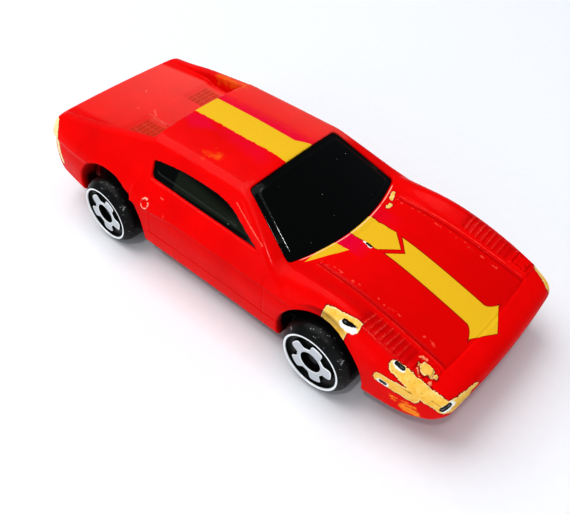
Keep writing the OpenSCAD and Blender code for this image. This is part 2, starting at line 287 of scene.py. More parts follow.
def hood_relief(x, a):
    """How far the front lid's lines, the louvres and the lamp covers are sunk; raised where negative."""
    on_lid = within(x, 13.4, 33.0)
    groove = 0.13 * ridge(a - lid_edge(x), 0.42) * on_lid
    lip = -0.06 * ridge(a - lid_edge(x) - 0.42, 0.26) * on_lid
    front_x = 33.0 + 0.5 * (1 - (a / 9.5) ** 2)
    front = 0.13 * ridge(x - front_x, 0.3) * within(a, -1, 9.6)
    step = 0.09 * within(a, -1, 9.2, 0.3) * within(x, 13.8, 33.2, 0.5)
    panel = within(x, LOUVRE_X, 29.9, 0.3) * within(a, 9.9, 12.7, 0.3)
    slats = panel * (0.05 + 0.035 * np.cos(2 * math.pi * (x - LOUVRE_X) / LOUVRE_PITCH))
    dx, da = np.abs(x - LAMP_X), np.abs(a - LAMP_Y)
    square = np.maximum(dx, da)
    lamp = -0.2 * ridge(square - 1.25, 0.28) + 0.14 * within(square, -1, 1.05)
    boss = -0.42 * ease((0.85 - np.hypot(dx, da)) / 0.22 + 0.5)
    nubs = -0.3 * ease((0.3 - np.hypot(dx - 0.72, da - 0.72)) / 0.18 + 0.5)
    return groove + lip + front + step + slats + lamp + boss + nubs


VENT_X, VENT_PITCH = -24.0, 0.86


def deck_relief(x, a):
    """Bars of the two deck vents."""
    grille = within(x, VENT_X, -19.7, 0.25) * within(a, 3.9, 8.1, 0.25)
    bars = 0.1 + 0.07 * np.cos(2 * math.pi * (x - VENT_X) / VENT_PITCH)
    posts = 1 - 0.8 * ridge(np.abs(a - 6.0) - 0.75, 0.2)
    return grille * bars * posts


SILL_Z = 6.2
CAP_X, CAP_Z = -12.95, 11.7


def side_relief(x, y, z):
    """Fine door lines, the rib above the sill, and the filler cap, which is on the right only."""
    upright = ridge(np.abs(x + 1.6) - 11.0, 0.2) * within(z, 5.2, 12.7)
    rib = ridge(z - SILL_Z, 0.22) * within(x, -14.0, 12.5, 1.0)
    ring = np.hypot(x - CAP_X, z - CAP_Z)
    cap = (-0.16 * ridge(ring - 0.62, 0.24) + 0.08 * ease((0.4 - ring) / 0.2)) * (y < 0)
    return 0.05 * upright + 0.1 * rib + cap


TAIL_LAMP_Y, TAIL_LAMP_Z, TAIL_LAMP_R = (5.3, 8.6), 11.4, 1.25
GRILLE_PITCH = 0.8


def end_relief(x, y, z):
    """Plain lamps, plate recess and bumper lines on nose and tail."""
    a = np.abs(y)
    lamps = 0
    for lamp_y in TAIL_LAMP_Y:
        r = np.hypot(a - lamp_y, z - TAIL_LAMP_Z)
        recess = 0.3 * ease((TAIL_LAMP_R - r) / 0.15 + 0.5)
        lamps = lamps + recess - 0.32 * ease((0.95 - r) / 0.5) - 0.12 * ridge(r - 1.4, 0.2)
    plate = 0.3 * within(a, -1, 3.1) * within(z, 7.8, 9.4)
    line = 0.22 * ridge(z - 9.9, 0.25) * within(a, -1, 12.5)
    rear = (lamps + plate + line) * (x < -33)
    bars = 0.7 + 0.3 * np.cos(2 * math.pi * a / GRILLE_PITCH)
    grille = 0.35 * within(a, -1, 6.5) * within(z, 6.1, 7.0, 0.25) * bars
    signals = 0.25 * within(a, 8.2, 10.6) * within(z, 6.5, 7.4)
    bumper = 0.18 * ridge(z - 8.0, 0.24) * within(a, -1, 12)
    front = (grille + signals + bumper) * (x > 33)
    return rear + front


ARCH_Y = 11.2            # the arches are cut from here outwards
ARCH_BACK = 0.2          # their centres lie this far behind the axles
SQUARENESS = 2.3         # 2 would make the rear arch round


def arch_outlines(x, z):
    """The front arch is round, the rear one a little squarer."""
    front = np.hypot(x - FRONT_AXLE[0] + ARCH_BACK, z - 5.0) - 6.8
    along, up = np.abs(x - REAR_AXLE[0] + ARCH_BACK), np.abs(z - 5.2)
    rear = (along ** SQUARENESS + up ** SQUARENESS) ** (1 / SQUARENESS) - 7.25
    return front, rear


def wheel_arches(x, a, z):
    """The room cut out for the wheels."""
    return np.maximum(np.minimum(*arch_outlines(x, z)), ARCH_Y - a)


FLANGE_T, FLANGE_Y = 0.8, 11.95


def arch_flanges(x, a, z):
    """Thickness kept around the half of each arch towards the car's end, clear of base and tub."""
    front, rear = arch_outlines(x, z)
    front = np.maximum(front, FRONT_AXLE[0] - x)
    rear = np.maximum(rear, x - REAR_AXLE[0])
    return np.maximum(np.minimum(front, rear) - FLANGE_T, FLANGE_Y - a)


# places along the car, and the base plate's half width there: it is narrower beside the wheels
BASE_EDGE = ((-34.6, -34.1, -32.5, -29.4, -29.2, -14.3, -14.1, 11.3, 11.5, 26.4, 29.5, 31.8, 32.7),
             (6, 9.6, 11.2, 11.8, 11.4, 11.4, 12.7, 12.7, 11.4, 11.5, 11.4, 9.6, 6))


def bottom_opening(x, a, z):
    """The mouth that the base plate closes."""
    ends = np.maximum(x - BASE_HIGH[0] - 0.15, BASE_LOW[0] - 0.15 - x)
    return np.maximum(np.maximum(a - np.interp(x, *BASE_EDGE) - 0.12, ends), z - 6.8)


LINER_T = 0.7
# middle, half length and lower edge of each liner: over the axles, and lower down beyond them
LINERS = ((19.2, 6.4, 8.0), (24.2, 3.2, 5.0), (-22.7, 6.7, 8.0), (-27.9, 3.4, 5.0))


def well_liners(x, a, z):
    """Thin walls that close the wheel wells above the axle bearings, clear of tub and glazing."""
    walls = np.inf
    for middle, half, bottom in LINERS:
        walls = np.minimum(walls, np.maximum(np.abs(x - middle) - half, bottom - z))
    return np.maximum(walls, np.abs(a - ARCH_Y + LINER_T / 2) - LINER_T / 2)


POST_X = [np.mean(node_box(rivet), axis=0)[0] for rivet in ("rivet_front", "rivet_rear")]
POST_R = 1.9


def casting(x, y, z):
    """The whole painted shell: its skin, hollowed out, with posts, wheel wells, arches and openings."""
    a = np.abs(y)
    low = lower_body(x, a, z)
    roof = cabin(x, y, z)
    tail = smax(tail_top(x, a, z), -deck_cut(x, a, z), 0.25)
    haunch = 0.55 + 1.1 * ease((-x - 6) / 8)
    skin = smax(smin(low, np.minimum(roof, tail), haunch), -deck_cut(x, a, z), 0.3)

    upper = ease((z - 8.4) / 0.8)
    relief = hood_relief(x, a) * upper * (x > 13) + deck_relief(x, a) * (x < -17) * upper
    flank = ease((a - 12.9) / 0.3) * (z < 13.3)
    relief = relief + side_relief(x, y, z) * flank + end_relief(x, y, z)

    hollow = np.minimum(np.minimum(low, roof) + WALL, bottom_opening(x, a, z))
    hollow = np.maximum(hollow, -arch_flanges(x, a, z))
    shell = smax(skin + relief, -hollow, 0.2)
    shell = np.minimum(shell, np.maximum(well_liners(x, a, z), skin + 0.3))
    for post_x in POST_X:
        post = np.maximum(np.hypot(x - post_x, y) - POST_R, np.maximum(BASE_HIGH[2] - 1.4 - z, z - 13))
        shell = np.minimum(shell, np.maximum(post, skin + 0.3))
    shell = smax(shell, -wheel_arches(x, a, z), 0.3)
    return smax(shell, -openings(x, y, z), 0.22)


# ---------------------------------------------------------------- glazing

GLASS_T = 0.9
GLASS_SUNK = 0.14        # the border of a pane lies this far under the paint
PANE_STEP = 0.1          # its middle stands proud of the border
PANE_BORDER = 0.75
GLASS_LOW = 12.1         # height of the moulding's lower edge


def glazing(x, y, z):
    """One moulding that lines the cabin and fills its openings."""
    skin = cabin(x, y, z)
    hole = openings(x, y, z)
    inner = skin + WALL + 0.15
    pane = PANE_STEP * ease((-hole - PANE_BORDER) / 0.36)
    plug = smax(skin + GLASS_SUNK + PANE_STEP - pane, hole + 0.04, 0.12)
    liner = np.maximum(inner, -(inner + GLASS_T))
    plug = np.maximum(plug, -(inner + GLASS_T))
    return np.maximum(np.minimum(liner, plug), GLASS_LOW - z)


# ---------------------------------------------------------------- wheels

LOBES = 5
FACE_SINK = 0.6          # depth of the recess around the hub's star
HUB_HOLE = 1.55
RIM_IN, RIM_OUT = 4.08, 4.36
FACE_OUT = 0.3           # the face stands this far outside the CAD wheel
BORE_R = 0.55


def lobed(angle):
    """Radius of the hub's star."""
    return 2.2 + 1.12 / (1 + np.exp(-6 * (np.cos(LOBES * angle) + 0.1)))


def wheel(x, y, z):
    """A wheel about the Y axis, its outer face on y = 0 and its body on the negative side."""
    u = -y
    r = np.hypot(x, z)
    shoulder = ((r - RIM_OUT - 0.05) - 0.72 * u) / 1.23
    body = smax(smax(r - WHEEL_R, shoulder, 0.35), np.abs(u - WHEEL_W / 2) - WHEEL_W / 2, 0.12)
    body = smax(body, -smax(r - RIM_IN, u - FACE_SINK, 0.1), 0.1)
    star = smax(0.9 * (r - lobed(np.arctan2(z, x))), np.abs(u - 0.5) - 0.44, 0.3)
    body = smin(body, star, 0.06)
    body = smax(body, -smax(r - HUB_HOLE, u - 1.2, 0.12), 0.25)
    hub = smax(np.abs(r - 1.2) - 0.14, 1.05 - u, 0.1)
    body = smin(body, np.maximum(hub, u - 1.4), 0.08)
    back = smax(np.abs(r - 2.95) - 1.35, 2.2 - u, 0.3)
    body = smax(body, -back, 0.2)
    return np.maximum(body, BORE_R - r)


# ---------------------------------------------------------------- fields to meshes


SETTLE = 4               # how often a mesh's points are moved towards the surface


def mesh_of(name, field, low, high, step):
    """Mesh a field's surface, move its points onto it and give them its own normals."""
    spans = [np.arange(a, b + step, step, dtype=np.float32) for a, b in zip(low, high)]
    values = field(*np.meshgrid(*spans, indexing="ij", sparse=True)).astype(np.float32)
    volume = openvdb.FloatGrid()
    volume.copyFromArray(np.clip(np.ascontiguousarray(values), -3 * step, 3 * step))
    points, triangles, quads = volume.convertToPolygons(isovalue=0.0, adaptivity=0.0)
    points = points.astype(float) * step + np.array(low)

    def slope_at(p, reach=0.03):
        sides = []
        for axis in np.eye(3) * reach:
            sides.append(field(*(p + axis).T) - field(*(p - axis).T))
        return np.stack(sides, axis=1) / (2 * reach)

    for _ in range(SETTLE):
        slope = slope_at(points)
        push = field(*points.T) / np.maximum((slope ** 2).sum(axis=1), 0.2)
        points = points - np.clip(push, -step / 2, step / 2)[:, None] * slope
    normals = slope_at(points)
    normals /= np.maximum(np.linalg.norm(normals, axis=1), 1e-6)[:, None]

    mesh = bpy.data.meshes.new(name)
    corners = points[quads]
    facing = np.cross(corners[:, 2] - corners[:, 0], corners[:, 3] - corners[:, 1])
    if (facing * normals[quads[:, 0]]).sum() < 0:
        quads = quads[:, ::-1]
        triangles = triangles[:, ::-1]
    mesh.from_pydata((points * MM).tolist(), [], triangles.tolist() + quads.tolist())
    mesh.validate()
    mesh.shade_smooth()
    mesh.normals_split_custom_set_from_vertices(normals.tolist())
    return mesh


def finish_in(thing, material):
    """Give a thing one material in place of those it has."""
    thing.data.materials.clear()
    thing.data.materials.append(material)


def piece(name, mesh, body, material, node, place=Matrix()):
    """Put a mesh in the scene as a piece that rides on a body and stands for a CAD node."""
    made = bpy.data.objects.new(name, mesh)
    bpy.context.scene.collection.objects.link(made)
    made.matrix_world = place
    finish_in(made, material)
    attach(made, body)
    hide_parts(node)


# ---------------------------------------------------------------- shader formulas


class Field:
    """A number or vector that the shader works out at each point of a surface."""

    def __init__(self, tree, socket):
        self.tree, self.socket = tree, socket

    def math(self, operation, *others, clamp=False):
        node = self.tree.nodes.new("ShaderNodeMath")
        node.operation = operation
        node.use_clamp = clamp
        for socket, value in zip(node.inputs, (self, *others)):
            feed(self.tree, socket, value)
        return Field(self.tree, node.outputs[0])

    def vector(self, operation, *others, output=0):
        node = self.tree.nodes.new("ShaderNodeVectorMath")
        node.operation = operation
        names = {"SCALE": (0, 3)}.get(operation, (0, 1, 2))
        for index, value in zip(names, (self, *others)):
            feed(self.tree, node.inputs[index], value)
        return Field(self.tree, node.outputs[output])

    def __add__(self, other):
        return self.math("ADD", other)

    def __sub__(self, other):
        return self.math("SUBTRACT", other)

    def __mul__(self, other):
        return self.math("MULTIPLY", other)

    def __rsub__(self, other):
        return (self * -1).math("ADD", other)

    __radd__, __rmul__ = __add__, __mul__

    def __abs__(self):
        return self.math("ABSOLUTE")

    def max(self, other):
        return self.math("MAXIMUM", other)

    def min(self, other):
        return self.math("MINIMUM", other)

    def below(self, edge=0.0, soft=0.04):
        """1 where this is under edge, 0 above it, with a soft step."""
        return self.math("MULTIPLY_ADD", -1 / (2 * soft), edge / (2 * soft) + 0.5, clamp=True)

    def above(self, edge=0.0, soft=0.04):
        """1 where this is over edge, 0 below it, with a soft step."""
        return self.math("MULTIPLY_ADD", 1 / (2 * soft), -edge / (2 * soft) + 0.5, clamp=True)

    def parts(self):
        """The three numbers of a vector."""
        node = self.tree.nodes.new("ShaderNodeSeparateXYZ")
        feed(self.tree, node.inputs[0], self)
        return [Field(self.tree, out) for out in node.outputs]

    def noise(self, scale, detail=2.0, rough=0.5):
        """Smooth noise centred on 0.5; scale is in waves for each unit of this vector."""
        node = self.tree.nodes.new("ShaderNodeTexNoise")
        feed(self.tree, node.inputs["Vector"], self)
        node.inputs["Scale"].default_value = scale
        node.inputs["Detail"].default_value = detail
        node.inputs["Roughness"].default_value = rough
        return Field(self.tree, node.outputs["Fac"])

    def cells(self, scale):
        """Distance to the nearest of a scatter of points."""
        node = self.tree.nodes.new("ShaderNodeTexVoronoi")
        feed(self.tree, node.inputs["Vector"], self)
        node.inputs["Scale"].default_value = scale
        return Field(self.tree, node.outputs["Distance"])

    def distance(self, point):
        return self.vector("DISTANCE", point, output=1)


def feed(tree, socket, value):
    """Connect a field to a socket, or set the socket to a plain value."""
    if isinstance(value, Field):
        tree.links.new(value.socket, socket)
    else:
        socket.default_value = value


def scaled(direction, factor):
    """A fixed vector times a shader number."""
    node = factor.tree.nodes.new("ShaderNodeVectorMath")
    node.operation = "SCALE"
    node.inputs[0].default_value = direction
    feed(factor.tree, node.inputs[3], factor)
    return Field(factor.tree, node.outputs[0])


def blend_colour(fac, a, b):
    """Colour a where fac is 0, colour b where it is 1."""
    tree = fac.tree
    node = tree.nodes.new("ShaderNodeMix")
    node.data_type = "RGBA"
    feed(tree, node.inputs["Factor"], fac)
    for name, value in (("A", a), ("B", b)):
        socket = [s for s in node.inputs if s.name == name and s.type == "RGBA"][0]
        feed(tree, socket, value if isinstance(value, Field) else (*value, 1.0))
    return Field(tree, [s for s in node.outputs if s.type == "RGBA"][0])


def blend_number(fac, a, b):
    """Number a where fac is 0, number b where it is 1."""
    tree = fac.tree
    node = tree.nodes.new("ShaderNodeMix")
    feed(tree, node.inputs["Factor"], fac)
    feed(tree, node.inputs["A"], a)
    feed(tree, node.inputs["B"], b)
    return Field(tree, node.outputs["Result"])


class Finish:
    """A material whose formulas read the position on the piece, in millimetres."""

    def __init__(self, name, **fixed):
        self.material = bpy.data.materials.new(name)
        self.material.use_nodes = True
        self.tree = self.material.node_tree
        self.shader = self.tree.nodes["Principled BSDF"]
        for socket, value in fixed.items():
            self.shader.inputs[socket.replace("_", " ")].default_value = value
        place = self.tree.nodes.new("ShaderNodeTexCoord")
        self.place = Field(self.tree, place.outputs["Object"]).vector("SCALE", 1 / MM)

    def link(self, socket, value):
        feed(self.tree, self.shader.inputs[socket], value)

    def bump(self, height, depth):
        """Relief of the given depth in millimetres."""
        node = self.tree.nodes.new("ShaderNodeBump")
        node.inputs["Strength"].default_value = 1.0
        node.inputs["Distance"].default_value = depth * MM
        feed(self.tree, node.inputs["Height"], height)
        self.tree.links.new(node.outputs[0], self.shader.inputs["Normal"])

    def rod(self, a, b, start, end=None):
        """Distance outside a rod between two points, with its radius at each end."""
        a, b = Vector(a), Vector(b)
        along = b - a
        from_a = self.place.vector("SUBTRACT", tuple(a))
        reach = from_a.vector("DOT_PRODUCT", tuple(along / along.length_squared), output=1)
        reach = reach.math("ADD", 0.0, clamp=True)
        return from_a.distance(scaled(along, reach)) - (reach * ((end or start) - start) + start)

    def rods(self, *rods):
        """Distance outside the nearest of several rods."""
        near = self.rod(*rods[0])
        for rod in rods[1:]:
            near = near.min(self.rod(*rod))
        return near


# ---------------------------------------------------------------- colours, in linear light

RED = (0.82, 0.001, 0.001)
DARK_RED = (0.55, 0.0, 0.0)
DEEP_RED = (0.30, 0.0, 0.002)
SHEEN_PINK = (1.0, 0.22, 0.18)
# pale pink of the painted sheen on deck and roof
CRIMSON = (0.72, 0.0, 0.04)
PALE_RED = (0.95, 0.13, 0.09)
SALMON = (0.95, 0.32, 0.16)
# pale of the rubbed seam below the windscreen and of the painted highlight on the filler cap
RUB_AND_GLINT = (0.95, 0.6, 0.45)
ORANGE = (0.85, 0.20, 0.01)
SCRAPE = (0.95, 0.30, 0.02)
YELLOW = (0.78, 0.48, 0.02)
DULL_YELLOW = (0.78, 0.45, 0.02)
UNDERCOAT = (0.90, 0.47, 0.05)
LIGHT_UNDERCOAT = (0.93, 0.60, 0.16)
PALE = (0.95, 0.78, 0.42)
PRIMER = (0.88, 0.86, 0.80)
ZINC = (0.13, 0.135, 0.13)
ZINC_RIM = (0.006, 0.006, 0.006)
VENT_BROWN = (0.30, 0.05, 0.006)
RUST = (0.55, 0.22, 0.02)
CRACK = (0.16, 0.03, 0.004)
# near black of the painted shade in the wheel wells
WELL_SHADE = (0.004, 0.001, 0.001)

# ---------------------------------------------------------------- painted body

# the body's shader is close to Cycles' limit of live values, which the order of its nodes decides
UPPER_Z = 8.6            # the print, the darker red in the louvres, and the painted shade on the lid and in its groove, end at this height
WELL_R = 7.5             # painted shade: the paint goes near black inside this radius around the arches' centres


def stripe_masks(x, y, z, rag):
    """Where the printed yellow and its crimson shading lie on lid and roof, seen from above."""
    # arrow on the lid: a band with a notched tail and a flared head, a little askew
    a = abs(y + (x * 0.06 - 1.47))
    band = (a - 1.95).max(x - 31.6).max(20.35 - x - a * 0.97)
    flare = (x - 31.4).max(0) * (x - 31.4).max(0) * 0.8 + 1.95
    head = (a - flare).max(x - 32.85).max(31.3 - x)
    tip = (a - (34.8 - x) * 1.75).max(32.8 - x)
    arrow = band.min(head).min(tip)
    # patch behind it, and a sliver by the windscreen
    b = abs(y - 0.42)
    patch = (b + (rag - 0.5) * 0.8 - 2.1).max(x + b * 1.05 - 19.5).max(12 - x)
    sliver = (x - y * 0.5 - 16.88).max(y - x * 0.16 + 6.6).max(12 - x)
    # band on the roof, wider where it meets the windscreen
    near_edge = (rag - 0.5) * 0.9 - 1.85 - y
    far_edge = y - 2.55 - (x + 0.4).max(0) * 0.5 + (x + 4).above(0, 4) * 0.2
    roof = near_edge.max(far_edge).max(x - 4).max(18.7 - z)
    yellow = arrow.min(patch).min(sliver).min(roof)
    outline = arrow.min(patch) - 0.15
    # crimson beside the patch, and on the roof beside its band
    near_lid = (abs(y + 2.9) - 1.5).below(0, 0.1) * (x - 15.6).below(0, 1.6) * x.above(11, 0.1)
    far_lid = (abs(y - 3.6) - 1.4).below(0, 0.5) * (x - 15.6).below(0, 1.8) * x.above(11, 0.1) * 0.4
    far_roof = (y - 4.0 + (rag - 0.5) * 2).below(0, 0.8) * y.above(1, 0.1) * 0.8
    near_roof = (abs(y + 3.2) + abs(x + 13.4) * 0.5 - 1.7).below(0, 0.6) * 0.7
    smear = (abs(y + x * 0.15 + 3.4) + (rag - 0.5) * 3 - 1.2).below(0, 0.8)
    smear = smear * (abs(x + 4.8) - 4.5).below(0, 1.0) * 0.45
    on_lid = near_lid.max(far_lid)
    crimson = on_lid.max(far_roof.max(near_roof).max(smear) * x.below(4, 0.1) * z.above(18.2, 0.3))
    return yellow, outline, crimson


def chips(paint, rag, fine):
    """Distances outside the worn and scraped patches, the cracks, the primer and the bare metal."""
    x, y, z = paint.place.parts()
    rough = (rag - 0.5) * 1.5 + (fine - 0.5) * 0.9
    # over the right front wheel arch
    beyond = (z - 11.9).math("MULTIPLY", 2.4, clamp=True) * 1.15
    arch = (18.3 - x).max(x - beyond - 22.15).max(y - x * 0.15 + 15.9).max(10 - z) + rough * 0.3
    # along the right front fender and round the nose's corner
    fender = paint.rods(((28.75, -13.4, 10.85), (32.6, -13.35, 9.55), 0.75, 1.0),
                        ((32.6, -13.35, 9.45), (35.3, -12.5, 8.3), 1.0, 0.85),
                        ((35.6, -11.9, 8.2), (36.6, -7.4, 8.4), 0.85, 0.45),
                        ((27.6, -14.7, 8.85), (31.9, -13.95, 8.45), 0.72, 0.9))
    # the nose's left corner, the tail's right corner and the edge of the windscreen
    others = paint.rods(((33.4, 13.1, 9.6), (35.8, 11.9, 8.9), 1.05, 0.8),
                        ((-36.5, -12.6, 13.3), (-35.7, -13.9, 11.9), 0.8),
                        ((-35.7, -13.9, 11.7), (-34.7, -14.4, 7.6), 0.65, 0.5),
                        ((12.4, 8.8, 13.35), (13.0, 7.4, 13.4), 0.26),
                        ((13.6, 6.4, 13.4), (13.6, 5.7, 13.45), 0.26))
    worn = arch.min(fender.min(others) + rough * 0.5)
    scraped = paint.rods(((30.9, -14.2, 5.8), (32.6, -13.8, 5.4), 0.5),
                         ((29.3, -14.4, 6.7), (31.4, -14.1, 6.9), 0.1),
                         ((29.6, -14.4, 6.2), (32.4, -13.9, 6.6), 0.12)) + rough * 0.75
    crack = paint.rods(((28.8, -14.25, 9.2), (31.6, -13.95, 8.95), 0.07),
                       ((29.2, -13.75, 10.6), (32.2, -13.7, 9.7), 0.06),
                       ((32.2, -13.7, 9.7), (34.9, -12.9, 8.5), 0.05)) + (fine - 0.5) * 0.2
    primer = paint.rods(((21.3, -13.5, 12.4), (22.6, -13.4, 12.3), 0.56),
                        ((28.6, -13.15, 11.1), (29.6, -13.1, 10.75), 0.36),
                        ((27.75, -14.6, 8.4), (28.5, -14.5, 8.35), 0.4),
                        ((35.3, -12.6, 8.1), (35.75, -11.8, 8.6), 0.45),
                        ((15.3, -1.75, 13.4), (16.5, -2.0, 13.35), 0.15),
                        ((30.45, -12.55, 10.7), (30.5, -12.55, 10.7), 0.16)) + rough * 0.4
    metal = paint.rods(((21.3, -13.2, 12.6), (22.9, -13.0, 12.5), 0.34, 0.18),
                       ((28.65, -13.05, 11.15), (29.6, -13.0, 10.85), 0.17),
                       ((27.85, -14.6, 8.45), (28.4, -14.5, 8.4), 0.16),
                       ((35.15, -12.8, 8.1), (35.6, -12.1, 8.65), 0.2),
                       ((15.75, -1.75, 13.4), (16.4, -1.8, 13.35), 0.09)) + rough * 0.2
    return worn, scraped, crack, primer, metal


def marks(paint, rag, fine):
    """Pale marks, a rubbed seam and painted highlights in the paint, as strengths from 0 to 1: soft ones, and
    strong ones.
    """
    x, y, z = paint.place.parts()
    a = abs(y)
    # painted highlight: pale spots along both edges of the front lid
    specks = (abs(a - 7.95) - 0.22).below(0, 0.1) * (paint.place.noise(1.5, 2).above(0.6, 0.03))
    specks = specks * (abs(x - 22) - 8.5).below(0, 0.3) * z.above(10, 0.1)
    # painted highlight: the broken whitish ring of the filler cap
    ring = x - CAP_X
    ring = (ring * ring + (z - CAP_Z) * (z - CAP_Z)).math("SQRT")
    cap = (abs(ring - 0.66) - 0.1).below(0, 0.05) * y.below(-13, 0.1)
    cap = cap * paint.place.noise(2.6, 1).above(0.47, 0.03)
    # short light scratches, and a painted highlight streak down the right A-pillar
    scratches_and_streak = paint.rods(((31.2, -3.9, 10.95), (31.3, -4.5, 10.95), 0.05),
                       ((31.2, -4.7, 10.95), (31.6, -5.6, 10.9), 0.07),
                       ((16.1, -12.95, 13.15), (18.2, -13.4, 12.75), 0.08),
                       ((8.3, -13.1, 13.2), (8.35, -13.1, 13.2), 0.09),
                       ((-10.7, -13.6, 13.2), (-10.2, -13.65, 13.2), 0.1),
                       # painted highlight: the pale streak down the crease of the right A-pillar
                       ((1.2, -10.6, 17.35), (4.4, -11.55, 15.95), 0.07),
                       ((4.4, -11.55, 15.95), (7.1, -12.25, 14.8), 0.09),
                       ((-31.0, 1.2, 14.9), (-30.6, 0.8, 14.9), 0.14),
                       ((-27.7, -3.4, 15.2), (-27.4, -3.2, 15.2), 0.08),
                       ((-24.8, -2.3, 15.6), (-23.5, -3.1, 15.6), 0.12),
                       ((-9.6, -14.8, 11.9), (-9.2, -14.8, 11.5), 0.07),
                       ((-9.2, -14.8, 11.5), (-9.4, -14.9, 10.8), 0.07),
                       ((-10.0, -15.1, 9.9), (-6.0, -15.1, 8.4), 0.04),
                       ((-8.6, -15.1, 9.6), (-7.8, -15.1, 7.6), 0.04)) + (fine - 0.5) * 0.3
    # rubbed line below the windscreen
    up = (z - SCREEN_Z) * math.sin(RAKE) - (x - SCREEN_X) * math.cos(RAKE)
    below_screen = -4.3 - 2.0 * (1.0 - y * y * (1 / 11.3 ** 2)) - up
    seam = (abs(below_screen - 0.07) - 0.06).below(0, 0.03) * (a - 9.8).below(0, 0.3)
    seam = seam * z.below(14.2, 0.1) * z.above(12.6, 0.1)
    # painted highlights along the edges of lid, louvres and hump and on the louvre ribs, and a faint pale
    # speckle low on the flanks by the sill
    lip = (abs(a - x * 0.033 - 8.46) - 0.05).below(0, 0.05) * (abs(x - 23) - 9.5).below(0, 0.2)
    lip = lip * rag.above(0.46, 0.1) * z.above(9, 0.1)
    outer = (abs(a - 12.75) - 0.05).below(0, 0.05) * (abs(x - 25.5) - 4.0).below(0, 0.2)
    outer = outer * fine.above(0.5, 0.06) * z.above(9, 0.1)
    ribs = (x * (2 * math.pi / LOUVRE_PITCH) - 2 * math.pi * 22.9 / LOUVRE_PITCH).math("COSINE").below(-0.7, 0.2)
    ribs = ribs * (abs(x - 26) - 3.0).below(0, 0.2) * (abs(a - 11.2) - 1.3).below(0, 0.2)
    ribs = ribs * fine.above(0.5, 0.08) * z.above(9, 0.1)
    sill = (fine - 0.45).above(0.1, 0.1) * (abs(x + 1) - 13.5).below(0, 0.5)
    sill = sill * (abs(z - 5.2) - 1.2).below(0, 0.4) * a.above(14, 0.1)
    hump = (abs(x + 24.9) - 0.12).below(0, 0.1).max((abs(a - 3.45) - 0.12).below(0, 0.1))
    hump = hump * (abs(x + 20.8) - 4.2).below(0, 0.2)
    hump = hump * (a - 3.5).below(0, 0.1) * z.above(14.6, 0.2) * rag.above(0.42, 0.2)
    soft = (lip.max(outer).max(hump) * 0.5).max(ribs * x.below(28, 2.5) * 0.5).max(sill * 0.08)
    return (specks * 0.6 + scratches_and_streak.below(0, 0.04)).max(soft), (seam * rag.above(0.36, 0.08)).max(cap)


def spots(plan, *circles):
    """Distance outside the nearest of several round spots on the right lamp cover, seen from above."""
    near = plan.distance((LAMP_X + circles[0][0], circles[0][1] - LAMP_Y, 0)) - circles[0][2]
    for dx, dy, r in circles[1:]:
        near = near.min(plan.distance((LAMP_X + dx, dy - LAMP_Y, 0)) - r)
    return near


